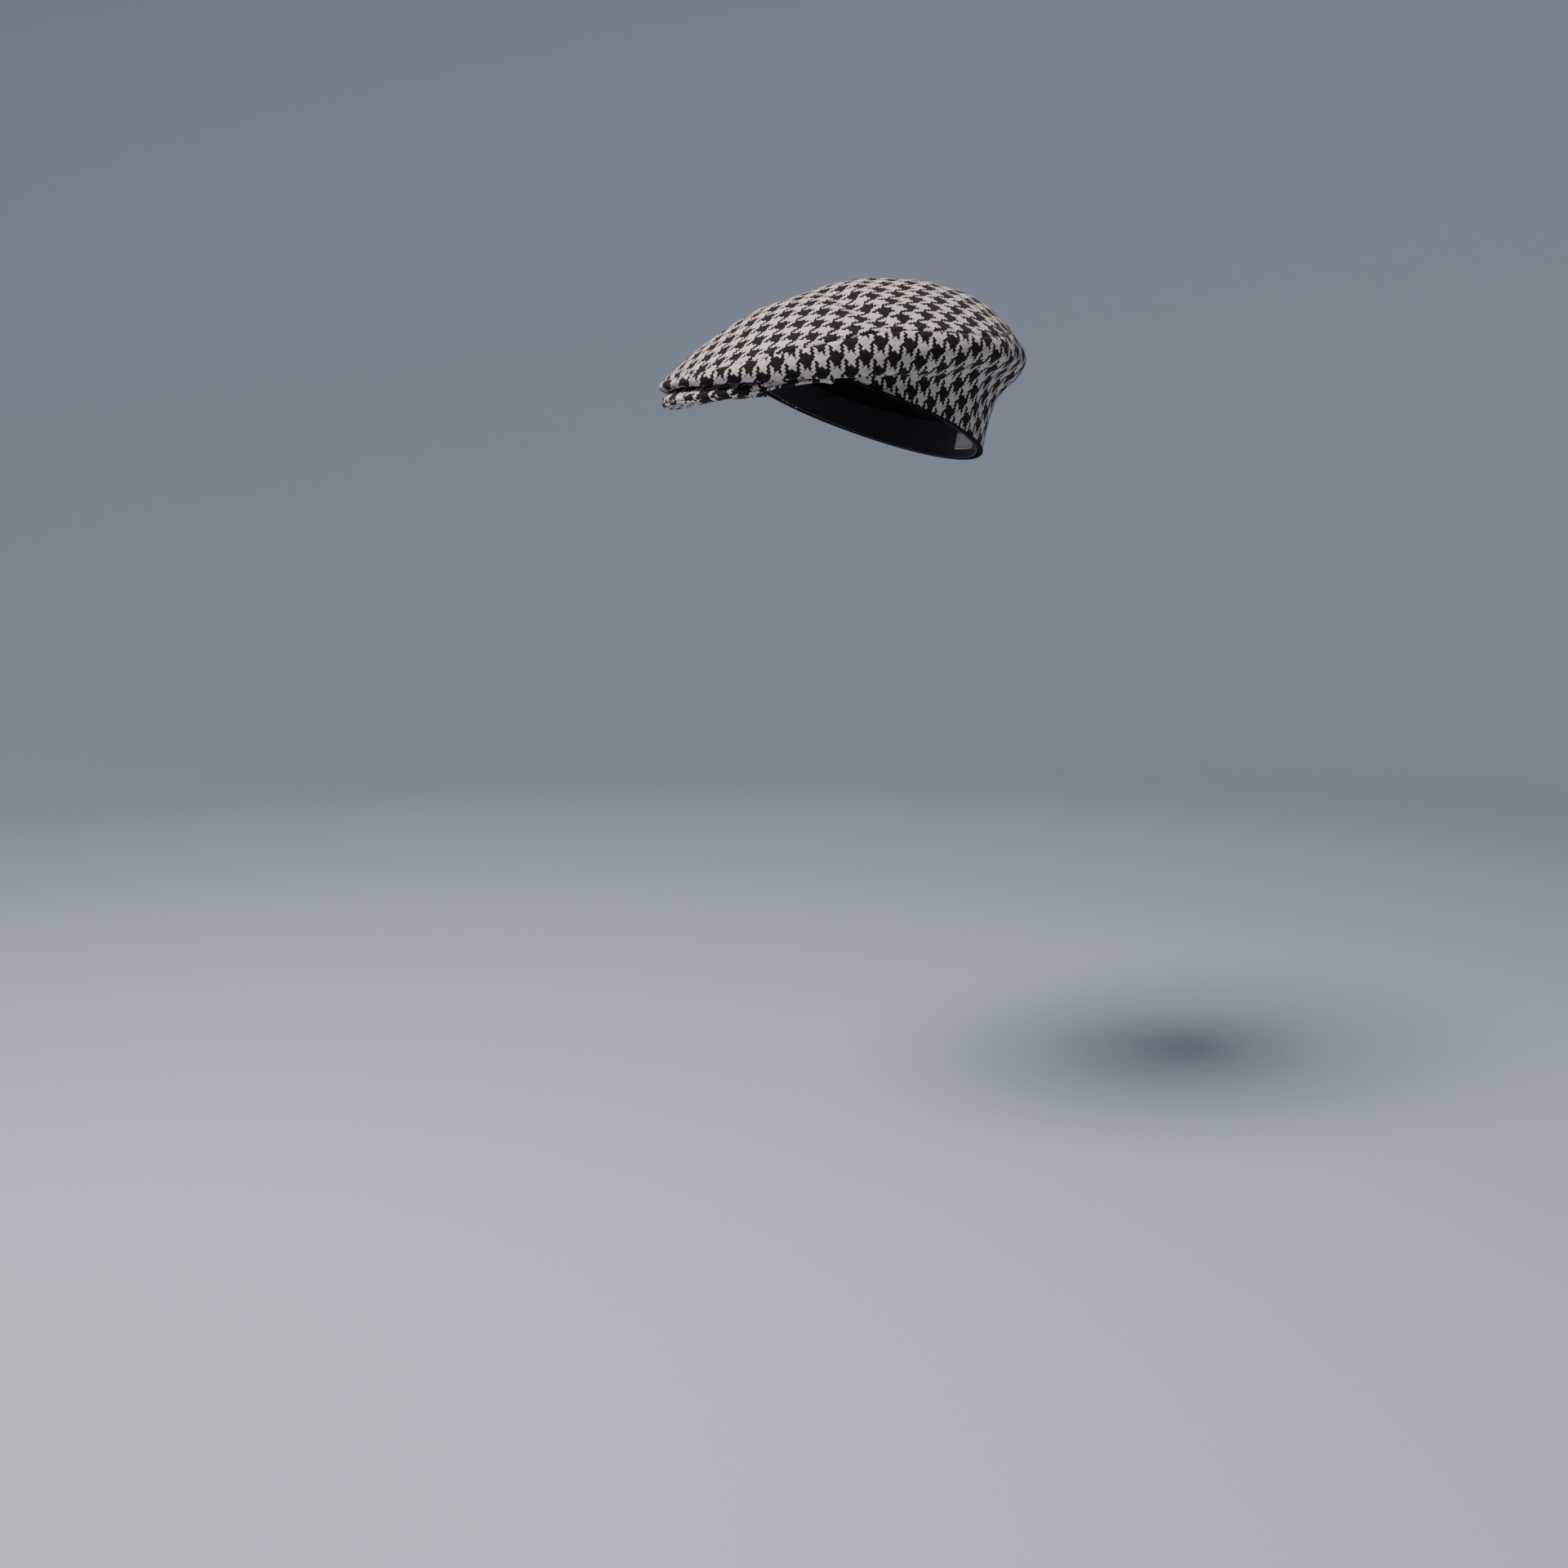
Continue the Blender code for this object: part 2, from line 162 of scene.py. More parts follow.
def smooth_paths(knots):
    """Centripetal Catmull-Rom curves through rows of knots, one curve for each column."""
    knots = np.concatenate((2 * knots[:1] - knots[1:2], knots, 2 * knots[-1:] - knots[-2:-1]))
    gaps = np.sqrt(np.linalg.norm(np.diff(knots, axis=0), axis=2, keepdims=True))
    times = np.concatenate((np.zeros_like(gaps[:1]), np.cumsum(np.maximum(gaps, 1e-3), axis=0)))
    rows = []
    for i in range(1, len(knots) - 2):
        for share in np.arange(SPLINE_STEPS) / SPLINE_STEPS:
            time = times[i] + (times[i + 1] - times[i]) * share
            first = [between(knots[i - 1 + k], knots[i + k], times[i - 1 + k], times[i + k], time)
                     for k in range(3)]
            second = [between(first[k], first[k + 1], times[i - 1 + k], times[i + 1 + k], time)
                      for k in range(2)]
            rows.append(between(second[0], second[1], times[i], times[i + 1], time))
    rows.append(knots[-2])
    return np.array(rows)


def crown_grid(kind, zone, angles, shares):
    """Points of the top (apex to seam) or side (seam to hem), and each point's distance from the seam."""
    rings, apex = CROWN_RINGS[kind]
    knots = [np.broadcast_to(apex, (len(angles), 3))]
    knots += [dome_points(rings[0], apex, angles, share) for share in DOME_SHARES]
    knots += [ring_points(ring, angles) for ring in rings]
    paths = smooth_paths(np.array(knots)) * MM
    steps = np.linalg.norm(np.diff(paths, axis=0), axis=2)
    lengths = np.concatenate((np.zeros((1, len(angles))), np.cumsum(steps, axis=0)))
    seam = lengths[(len(DOME_SHARES) + 1) * SPLINE_STEPS]
    if zone == "top":
        wanted = np.outer(shares, seam)
        distance = seam - wanted
    else:
        wanted = seam + np.outer(shares, lengths[-1] - seam)
        distance = wanted - seam
    points = np.empty((len(shares), len(angles), 3))
    for column in range(len(angles)):
        for axis in range(3):
            points[:, column, axis] = np.interp(wanted[:, column], lengths[:, column], paths[:, column, axis])
    return points, distance


def grid_normals(points, wraps):
    """Unit normals of a grid of points: away from the head, or upwards on the brim."""
    if wraps:
        padded = np.concatenate((points[:, -1:], points, points[:, :1]), axis=1)
        across = padded[:, 2:] - padded[:, :-2]
    else:
        across = np.gradient(points, axis=1)
    along = np.gradient(points, axis=0)
    normals = np.cross(along, across)
    size = np.linalg.norm(normals, axis=2, keepdims=True)
    normals = normals / np.maximum(size, 1e-12)
    if np.sum(normals[..., :2] * points[..., :2]) < 0:
        normals = -normals
    if size[0].max() < 1e-9:
        normals[0] = normals[1].mean(axis=0) / np.linalg.norm(normals[1].mean(axis=0))
    return normals


# ---------------------------------------------------------------- how the cloth lies

def waves(points, length, seed):
    """Smooth bumps of about that length, from -1 to 1, the same on every run."""
    chance = np.random.default_rng(seed)
    total = np.zeros(points.shape[:-1])
    count = 9
    for _ in range(count):
        direction = chance.normal(size=3)
        direction *= FULL_TURN / (length * chance.uniform(0.75, 1.5)) / np.linalg.norm(direction)
        total += np.sin(points @ direction + chance.uniform(0, FULL_TURN))
    return total / math.sqrt(count / 2) / 1.6


def path_distance(points, path):
    """Signed sideways distance from a path in plan, and how far along it each point is, from 0 to 1."""
    plan = points[..., :2]
    best = np.full(plan.shape[:-1], 1e9)
    side = np.zeros_like(best)
    place = np.zeros_like(best)
    ends = np.array(path) * MM
    steps = np.linalg.norm(np.diff(ends, axis=0), axis=1)
    starts = np.concatenate(((0,), np.cumsum(steps)))
    for i, (near, far) in enumerate(zip(ends, ends[1:])):
        line = far - near
        share = np.clip(((plan - near) @ line) / (line @ line), 0, 1)
        offset = plan - near - share[..., None] * line
        distance = np.linalg.norm(offset, axis=-1)
        closer = distance < best
        best = np.where(closer, distance, best)
        turn = line[0] * offset[..., 1] - line[1] * offset[..., 0]
        side = np.where(closer, np.sign(turn), side)
        place = np.where(closer, (starts[i] + share * steps[i]) / starts[-1], place)
    return best * side, place


DENTS = (
    # path in plan in millimetres, depth, half width, and how much the cloth behind it stands up
    (((28, -46), (48, -40), (68, -38), (86, -34), (99, -22), (107, -6), (109, 10)),
     3.8 * MM, 8 * MM, 1.6 * MM),
    (((-50, -24), (-66, -22), (-84, -16), (-98, -8), (-108, 4)), 1.5 * MM, 9 * MM, 0.8 * MM),
)
# The lower edge of the overhanging strip, by angle, and how strongly it shows there.
OVERHANG_ANGLES = np.radians((58.0, 74.0, 90.0, 106.0, 122.0, 146.0))
OVERHANG_LEVELS = (12.0, 15.0, 19.0, 23.0, 27.0, 30.0)
OVERHANG_STRENGTH = (0.0, 1.0, 1.0, 1.0, 0.7, 0.0)


def dent_depth(points):
    """The soft diagonal folds where the flat front slope meets the puffed rear of the top."""
    total = np.zeros(points.shape[:-1])
    for path, depth, width, rise in DENTS:
        offset, place = path_distance(points, path)
        fade = np.sin(np.clip(place, 0.02, 0.98) * math.pi) ** 0.7
        toward_back = offset * (1 if path[0][0] > 0 else -1)
        total -= depth * fade * np.exp(-(offset / width) ** 2)
        total += rise * fade * np.exp(-((toward_back - 1.9 * width) / (1.3 * width)) ** 2)
    return total


def seam_shape(distance, run, seed):
    """The turned seam: a narrow valley, cloth rolling into it and small puckers along it."""
    valley = -0.6 * MM * np.exp(-(distance / (1.2 * MM)) ** 2)
    roll = 0.3 * MM * np.exp(-((distance - 4 * MM) / (3 * MM)) ** 2)
    beat = np.sin(FULL_TURN * run / (10.5 * MM) + 1.7 * np.sin(run / (31 * MM) + seed))
    puckers = 0.15 * MM * beat * np.exp(-distance / (7 * MM)) * (1 - np.exp(-(distance / (2 * MM)) ** 2))
    return valley + roll + puckers


def end_seam_shape(angles, radius):
    """The side panels' own seams at the centre front and the centre back."""
    from_end = np.minimum(np.abs(angles), math.pi - np.abs(angles)) * radius
    valley = -0.45 * MM * np.exp(-(from_end / (1.0 * MM)) ** 2)
    roll = 0.2 * MM * np.exp(-((from_end - 4 * MM) / (3 * MM)) ** 2)
    return valley + roll


def overhang_shape(points, angles):
    """The hollow pressed into each side just under the strip that hangs over, and the strip's fuller edge."""
    level = np.interp(np.abs(angles), OVERHANG_ANGLES, OVERHANG_LEVELS) * MM
    above = points[..., 2] - level
    place = np.interp(np.abs(angles), OVERHANG_ANGLES, OVERHANG_STRENGTH)
    hollow = -1.8 * MM * np.exp(-((above + 6 * MM) / (4.5 * MM)) ** 2)
    lip = 1.0 * MM * np.exp(-((above - 4 * MM) / (4 * MM)) ** 2)
    return place * (hollow + lip)


def top_relief(points, distance, run):
    """The dents, small waves that fade out at the seam, and the seam itself."""
    relief = dent_depth(points)
    relief += 0.8 * MM * waves(points, 75 * MM, 3)
    relief += 0.35 * MM * waves(points, 26 * MM, 5)
    relief *= 1 - np.exp(-distance / (14 * MM))
    return relief + seam_shape(distance, run, 0.4)


def side_relief(points, distance, run, angles, height):
    """Soft upright drapes on the rear half, small waves elsewhere, and the seams."""
    backness = np.clip((np.abs(angles) - 1.3) / 0.9, 0, 1) * np.clip((math.pi - np.abs(angles)) / 0.3, 0, 1)
    low = np.clip(distance / height, 0, 1)
    middle = np.sin(low * math.pi)
    drape = np.sin(run / (15 * MM) + 2.1 * np.sin(run / (47 * MM)) + 26 * distance)
    relief = 0.9 * MM * backness * middle * drape
    relief += 0.7 * MM * middle * waves(points, 48 * MM, 11)
    relief += 0.3 * MM * middle * waves(points, 19 * MM, 13)
    relief += overhang_shape(points, angles)
    radius = np.linalg.norm(points[..., :2], axis=-1)
    return relief + seam_shape(distance, run, 2.2) + end_seam_shape(angles, radius)


# ---------------------------------------------------------------- meshes

def grid_mesh(name, skins, wraps, pole, uv):
    """A closed sheet between an outer and an inner grid of points, with flat cloth coordinates in metres."""
    rows, columns = skins[0].shape[:2]
    spans = columns if wraps else columns - 1
    verts = np.concatenate([skin.reshape(-1, 3) for skin in skins])
    total = rows * columns

    def vertex(skin, row, column):
        if pole and row == 0:
            column = 0
        return skin * total + row * columns + column % columns

    faces = []
    corners = []
    for skin in (0, 1):
        for row in range(rows - 1):
            for column in range(spans):
                places = [(row, column), (row + 1, column), (row + 1, column + 1), (row, column + 1)]
                if pole and row == 0:
                    places = places[:3]
                if skin:
                    places = places[::-1]
                faces.append([vertex(skin, *place) for place in places])
                corners += places
    edges = [(rows - 1, c, rows - 1, c + 1) for c in range(spans)]
    if not pole:
        edges += [(0, c + 1, 0, c) for c in range(spans)]
    if not wraps:
        edges += [(r, 0, r + 1, 0) for r in range(rows - 1)]
        edges += [(r + 1, columns - 1, r, columns - 1) for r in range(rows - 1)]
    for row_a, column_a, row_b, column_b in edges:
        faces.append([vertex(0, row_b, column_b), vertex(0, row_a, column_a),
                      vertex(1, row_a, column_a), vertex(1, row_b, column_b)])
        corners += [(row_b, column_b), (row_a, column_a), (row_a, column_a), (row_b, column_b)]
    mesh = bpy.data.meshes.new(name)
    mesh.from_pydata(verts.tolist(), [], faces)
    layer = mesh.uv_layers.new(name="cloth")
    index = np.array(corners)
    layer.data.foreach_set("uv", uv[index[:, 0], index[:, 1]].ravel())
    mesh.validate()
    made = bpy.data.objects.new(name, mesh)
    bpy.context.scene.collection.objects.link(made)
    drop_loose(mesh)
    mesh.shade_smooth()
    return made


def drop_loose(mesh):
    """Removes the unused copies of a pole's vertex and turns the faces outwards."""
    build = bmesh.new()
    build.from_mesh(mesh)
    loose = [vert for vert in build.verts if not vert.link_faces]
    bmesh.ops.delete(build, geom=loose, context="VERTS")
    if build.calc_volume(signed=True) < 0:
        bmesh.ops.reverse_faces(build, faces=build.faces)
    build.to_mesh(mesh)
    build.free()


def run_along(points):
    """Length along a grid's widest row, for each column, and one more column to close a ring."""
    widest = points[np.argmax(np.linalg.norm(np.diff(points, axis=1), axis=2).sum(axis=1))]
    closed = np.concatenate((widest, widest[:1]))
    return np.concatenate(((0.0,), np.cumsum(np.linalg.norm(np.diff(closed, axis=0), axis=1))))


def flat_top(points, distance_from_apex):
    """Flat cloth coordinates of the top: each point at its true distance and direction from the apex."""
    direction = points[..., :2] - points[:1, :1, :2]
    size = np.maximum(np.linalg.norm(direction, axis=-1, keepdims=True), 1e-9)
    flat = direction / size * distance_from_apex[..., None]
    return np.concatenate((flat, flat[:, :1]), axis=1)


def flat_side(points, distance, row):
    """Flat cloth coordinates of a side panel, along and down from one row, cut a little off the grain."""
    line = points[row]
    steps = np.diff(line, axis=0)
    lengths = np.linalg.norm(steps, axis=1)
    starts = np.concatenate(((0.0,), np.cumsum(lengths)))
    best = np.full(distance.shape, 1e9)
    along = np.zeros(distance.shape)
    for near, step, length, start in zip(line, steps, lengths, starts):
        share = np.clip((points - near) @ step / length ** 2, 0, 1)
        gap = np.linalg.norm(points - near - share[..., None] * step, axis=-1)
        closer = gap < best
        best = np.where(closer, gap, best)
        along = np.where(closer, start + share * length, along)
    drop = distance - distance[row]
    shift = along - starts
    down = np.sign(drop) * np.sqrt(np.maximum(drop ** 2 - shift ** 2, 0.0))
    turn = SIDE_GRAIN_TURN
    return np.stack((along * math.cos(turn) + down * math.sin(turn),
                     down * math.cos(turn) - along * math.sin(turn)), -1)


def thicken(points, wraps, depths):
    """The grid's copies at those depths below it, outer one first."""
    normals = grid_normals(points, wraps)
    return [points - normals * depth for depth in depths]


# ---------------------------------------------------------------- materials

class Nodes:
    """Short calls for building one material's node tree."""

    def __init__(self, name):
        self.material = bpy.data.materials.new(name)
        self.material.use_nodes = True
        self.tree = self.material.node_tree
        self.shader = self.tree.nodes["Principled BSDF"]

    def feed(self, socket, value):
        if isinstance(value, bpy.types.NodeSocket):
            self.tree.links.new(value, socket)
        elif value is not None:
            socket.default_value = value

    def math(self, operation, first, second=None):
        node = self.tree.nodes.new("ShaderNodeMath")
        node.operation = operation
        for socket, value in zip(node.inputs, (first, second)):
            self.feed(socket, value)
        return node.outputs[0]

    def join(self, x, y, z=0.0):
        node = self.tree.nodes.new("ShaderNodeCombineXYZ")
        for socket, value in zip(node.inputs, (x, y, z)):
            self.feed(socket, value)
        return node.outputs[0]

    def noise(self, vector, scale, detail=2.0, roughness=0.5):
        node = self.tree.nodes.new("ShaderNodeTexNoise")
        self.feed(node.inputs["Vector"], vector)
        node.inputs["Scale"].default_value = scale
        node.inputs["Detail"].default_value = detail
        node.inputs["Roughness"].default_value = roughness
        return node.outputs["Fac"]

    def mix(self, share, first, second):
        node = self.tree.nodes.new("ShaderNodeMix")
        node.data_type = "RGBA"
        self.feed(node.inputs["Factor"], share)
        self.feed(node.inputs["A"], first)
        self.feed(node.inputs["B"], second)
        return node.outputs["Result"]

    def stretch(self, value, low, high, new_low=0.0, new_high=1.0):
        node = self.tree.nodes.new("ShaderNodeMapRange")
        for socket, number in zip(node.inputs, (value, low, high, new_low, new_high)):
            self.feed(socket, number)
        return node.outputs[0]

    def cloth_place(self):
        node = self.tree.nodes.new("ShaderNodeUVMap")
        node.uv_map = "cloth"
        split = self.tree.nodes.new("ShaderNodeSeparateXYZ")
        self.tree.links.new(node.outputs[0], split.inputs[0])
        return split.outputs[0], split.outputs[1]

    def object_place(self):
        node = self.tree.nodes.new("ShaderNodeTexCoord")
        return node.outputs["Object"]

    def bump(self, height, strength, distance, under=None):
        node = self.tree.nodes.new("ShaderNodeBump")
        node.inputs["Strength"].default_value = strength
        node.inputs["Distance"].default_value = distance
        self.feed(node.inputs["Height"], height)
        self.feed(node.inputs["Normal"], under)
        return node.outputs[0]

    def finish(self, colour, roughness, normal=None, metallic=0.0, sheen=0.0, specular=0.5):
        self.feed(self.shader.inputs["Base Color"], colour)
        self.feed(self.shader.inputs["Roughness"], roughness)
        self.feed(self.shader.inputs["Normal"], normal)
        self.shader.inputs["Metallic"].default_value = metallic
        self.shader.inputs["Sheen Weight"].default_value = sheen
        self.shader.inputs["Sheen Roughness"].default_value = 0.5
        self.shader.inputs["Specular IOR Level"].default_value = specular
        return self.material


def houndstooth_wool():
    """Two-by-two twill of four dark and four light yarns each way, cut so that both run diagonally."""
    n = Nodes("houndstooth_wool")
    across, along = n.cloth_place()
    place = n.join(across, along)
    sway_a, sway_b = [
        n.math("MULTIPLY", n.math("SUBTRACT", n.noise(where, SWAY_SCALE, 3.0, 0.7), 0.5), YARN_SWAY)
        for where in (place, n.join(along, across, 0.3))]
    to_yarns = math.sqrt(0.5) / YARN_PITCH
    warp = n.math("ADD", n.math("MULTIPLY", n.math("SUBTRACT", along, across), to_yarns), sway_a)
    weft = n.math("ADD", n.math("MULTIPLY", n.math("ADD", along, across), to_yarns), sway_b)
    warp_count = n.math("FLOOR", warp)
    weft_count = n.math("FLOOR", weft)
    step = n.math("ADD", n.math("SUBTRACT", warp_count, weft_count), float(TWILL_PHASE))
    warp_on_top = n.math("LESS_THAN", n.math("FLOORED_MODULO", step, 4.0), 1.5)
    repeat = 2.0 * YARNS_PER_COLOUR
    dark_width = YARNS_PER_COLOUR + DARK_SPREAD
    warp_dark = n.math("LESS_THAN", n.math("FLOORED_MODULO", warp, repeat), dark_width)
    weft_dark = n.math("LESS_THAN", n.math("FLOORED_MODULO", weft, repeat), dark_width)
    dark = n.math("ADD", n.math("MULTIPLY", warp_on_top, warp_dark),
                  n.math("MULTIPLY", n.math("SUBTRACT", 1.0, warp_on_top), weft_dark))
    warp_swell = n.math("SINE", n.math("MULTIPLY", n.math("FRACT", warp), math.pi))
    weft_swell = n.math("SINE", n.math("MULTIPLY", n.math("FRACT", weft), math.pi))
    swell = n.math("ADD", n.math("MULTIPLY", warp_on_top, warp_swell),
                   n.math("MULTIPLY", n.math("SUBTRACT", 1.0, warp_on_top), weft_swell))
    fibres_a = n.noise(n.join(warp, n.math("MULTIPLY", weft, FIBRE_STRETCH)), FIBRE_SCALE, 3.0, 0.7)
    fibres_b = n.noise(n.join(n.math("MULTIPLY", warp, FIBRE_STRETCH), weft), FIBRE_SCALE, 3.0, 0.7)
    fibres = n.math("ADD", n.math("MULTIPLY", warp_on_top, fibres_a),
                    n.math("MULTIPLY", n.math("SUBTRACT", 1.0, warp_on_top), fibres_b))
    fuzz = n.noise(place, FUZZ_SCALE, 3.0, 0.75)
    cloudy = n.noise(place, 34.0, 3.0)
    light = n.mix(n.stretch(fibres, 0.3, 0.72), (0.46, 0.38, 0.33, 1), (0.80, 0.72, 0.66, 1))
    light = n.mix(n.stretch(cloudy, 0.35, 0.75, 0.0, 0.3), light, (0.60, 0.47, 0.39, 1))
    deep = n.mix(n.stretch(fibres, 0.35, 0.8), (0.006, 0.0055, 0.0055, 1), (0.026, 0.021, 0.020, 1))
    deep = n.mix(n.stretch(cloudy, 0.45, 0.75, 0.0, 0.5), deep, (0.024, 0.011, 0.010, 1))
    stray = n.math("GREATER_THAN", fuzz, 0.68)
    deep = n.mix(n.math("MULTIPLY", stray, 0.35), deep, (0.30, 0.26, 0.24, 1))
    light = n.mix(n.math("MULTIPLY", n.math("LESS_THAN", fuzz, 0.33), 0.35), light, (0.22, 0.19, 0.18, 1))
    colour = n.mix(dark, light, deep)
    # Painted shade: each yarn's colour is pulled toward black at its edges, where it dips beside its
    # neighbours.
    yarn_edge_shade = n.stretch(swell, 0.0, 0.5, 0.8, 1.0)
    colour = n.mix(yarn_edge_shade, (0.0, 0.0, 0.0, 1), colour)
    height = n.math("ADD", n.math("MULTIPLY", swell, 0.6), n.math("MULTIPLY", fuzz, 1.2))
    normal = n.bump(height, 0.6, 0.35 * MM)
    return n.finish(colour, 0.92, normal, sheen=0.06, specular=0.15)


def satin():
    n = Nodes("black_satin")
    place = n.object_place()
    folds = n.noise(place, 60.0, 3.0)
    threads = n.noise(place, 1800.0, 1.0)
    # Painted shade and sheen: the colour is darker in the hollows of the fold noise that also bumps the
    # surface, and lighter on its crests.
    colour = n.mix(n.stretch(folds, 0.3, 0.7), (0.010, 0.010, 0.012, 1), (0.020, 0.019, 0.022, 1))
    normal = n.bump(threads, 0.15, 0.1 * MM, n.bump(folds, 0.25, 1.5 * MM))
    return n.finish(colour, n.stretch(threads, 0.3, 0.7, 0.32, 0.48), normal, sheen=0.1)


def ribbed_band():
    n = Nodes("ribbed_band")
    across, along = n.cloth_place()
    ribs = n.math("SINE", n.math("MULTIPLY", across, FULL_TURN / (1.3 * MM)))
    wale = n.noise(n.join(across, along), 900.0, 2.0)
    # Painted shade: the colour is darker in the troughs between the ribs and lighter on their crests.
    colour = n.mix(n.stretch(ribs, -1.0, 1.0), (0.006, 0.006, 0.007, 1), (0.022, 0.021, 0.023, 1))
    height = n.math("ADD", ribs, n.math("MULTIPLY", wale, 0.8))
    return n.finish(colour, 0.85, n.bump(height, 0.5, 0.3 * MM), sheen=0.2, specular=0.3)


def woven_tape():
    n = Nodes("woven_tape")
    across, along = n.cloth_place()
    weave = n.math("MULTIPLY", n.math("SINE", n.math("MULTIPLY", across, FULL_TURN / (0.8 * MM))),
                   n.math("SINE", n.math("MULTIPLY", along, FULL_TURN / (0.8 * MM))))
    # Painted shade: the colour is darker where the weave dips and lighter where it rises.
    colour = n.mix(n.stretch(weave, -1.0, 1.0), (0.005, 0.004, 0.004, 1), (0.018, 0.015, 0.014, 1))
    return n.finish(colour, 0.95, n.bump(weave, 0.4, 0.2 * MM), sheen=0.0, specular=0.1)


def plain_weave(name, dark, light, pitch, roughness=0.85):
    n = Nodes(name)
    place = n.object_place()
    split = n.tree.nodes.new("ShaderNodeSeparateXYZ")
    n.tree.links.new(place, split.inputs[0])
    first = n.math("SINE", n.math("MULTIPLY", split.outputs[0], FULL_TURN / pitch))
    second = n.math("SINE", n.math("MULTIPLY", split.outputs[2], FULL_TURN / pitch))
    weave = n.math("MULTIPLY", first, second)
    patches = n.noise(place, 120.0, 3.0)
    # Painted shade: the colour is darker where the weave dips and lighter where it rises; the patches are
    # random darker tone.
    colour = n.mix(n.stretch(weave, -1.0, 1.0), dark, light)
    colour = n.mix(n.stretch(patches, 0.3, 0.8, 0.0, 0.25), colour, dark)
    return n.finish(colour, roughness, n.bump(weave, 0.4, 0.2 * MM), sheen=0.1, specular=0.3)


def board_plastic():
    n = Nodes("board_plastic")
    grain = n.noise(n.object_place(), 900.0, 3.0)
    colour = n.mix(n.stretch(grain, 0.3, 0.7), (0.58, 0.55, 0.48, 1), (0.72, 0.69, 0.62, 1))
    return n.finish(colour, 0.55, n.bump(grain, 0.2, 0.1 * MM))


def dark_brass():
    n = Nodes("dark_brass")
    place = n.object_place()
    tarnish = n.noise(place, 400.0, 4.0, 0.6)
    scuffs = n.noise(place, 2400.0, 2.0)
    colour = n.mix(n.stretch(tarnish, 0.35, 0.7), (0.09, 0.075, 0.055, 1), (0.23, 0.19, 0.13, 1))
    roughness = n.stretch(scuffs, 0.3, 0.7, 0.28, 0.45)
    return n.finish(colour, roughness, n.bump(scuffs, 0.1, 0.05 * MM), metallic=1.0)


def thread():
    n = Nodes("black_thread")
    twist = n.noise(n.object_place(), 2500.0, 2.0)
    colour = n.mix(n.stretch(twist, 0.3, 0.7), (0.008, 0.008, 0.009, 1), (0.035, 0.033, 0.035, 1))
    return n.finish(colour, 0.6, n.bump(twist, 0.3, 0.1 * MM), sheen=0.1)


LOOKS = {
    "wool": houndstooth_wool(),
    "satin": satin(),
    "band": ribbed_band(),
    "tape": woven_tape(),
    "felt": plain_weave("felt_interlining", (0.30, 0.28, 0.26, 1), (0.52, 0.50, 0.46, 1), 0.9 * MM),
    "label": plain_weave("blank_label_weave", (0.50, 0.46, 0.40, 1), (0.74, 0.70, 0.62, 1), 0.5 * MM),
    "board": board_plastic(),
    "brass": dark_brass(),
    "thread": thread(),
}


def dress(piece, look, slot, body, *nodes):
    """Gives a piece its material and the body it rides on, and hides the CAD nodes it stands for. The slot
    argument is not used.
    """
    piece.data.materials.clear()
    piece.data.materials.append(LOOKS[look])
    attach(piece, body)
    if nodes:
        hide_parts(*nodes)
    return piece


# ---------------------------------------------------------------- crown

def ring_angles():
    return np.arange(RING_STEPS) / RING_STEPS * FULL_TURN


def half_angles(side):
    """The angles of one side panel, stopping just short of its two end seams."""
    return side * np.linspace(SEAM_MARGIN, math.pi - SEAM_MARGIN, PANEL_STEPS)


def shaped_top():
    """The top panel's outer surface with its dent, waves and seam."""
    angles = ring_angles()
    shares = 1 - (1 - np.linspace(0, 1, TOP_STEPS)) ** 1.3
    points, distance = crown_grid("cloth", "top", angles, shares)
    run = run_along(points)[:-1]
    normals = grid_normals(points, True)
    relief = top_relief(points, distance, run)
    relief[0] = relief[1].mean()
    return points + normals * relief[..., None], distance


def make_top():
    points, distance = shaped_top()
    flat = flat_top(points, distance[0] - distance)
    panel = grid_mesh("crown_top_wool", thicken(points, True, (0.0, CLOTH)), True, True, flat)
    dress(panel, "wool", "houndstooth_wool", "crown", "crown_top_panel")
    inner = points[:-6]
    depths = (CLOTH + 2 * GAP, CLOTH + 2 * GAP + INTERLINING)
    felt = grid_mesh("crown_interlining_felt", thicken(inner, True, depths), True, True, flat[:-6])
    dress(felt, "felt", "felt_interlining", "crown", "crown_interlining")


def shaped_side(side):
    """A side panel's outer surface, that surface without its relief, and the distances from the seam."""
    angles = half_angles(side)
    shares = np.linspace(0, 1, SIDE_STEPS) ** 1.2
    points, distance = crown_grid("cloth", "side", angles, shares)
    run = run_along(points)[:-1] * side
    normals = grid_normals(points, False)
    relief = side_relief(points, distance, run, angles, distance[-1])
    return points + normals * relief[..., None], points, distance


def make_side(side, word):
    points, plain, distance = shaped_side(side)
    flat = flat_side(plain, distance, SIDE_STEPS // 3)
    panel = grid_mesh(f"side_wool_{word}", thicken(points, False, (0.0, CLOTH)), False, False, flat)
    dress(panel, "wool", "houndstooth_wool", "crown", f"side_panel_{word}")


# ---------------------------------------------------------------- lining, band and binding

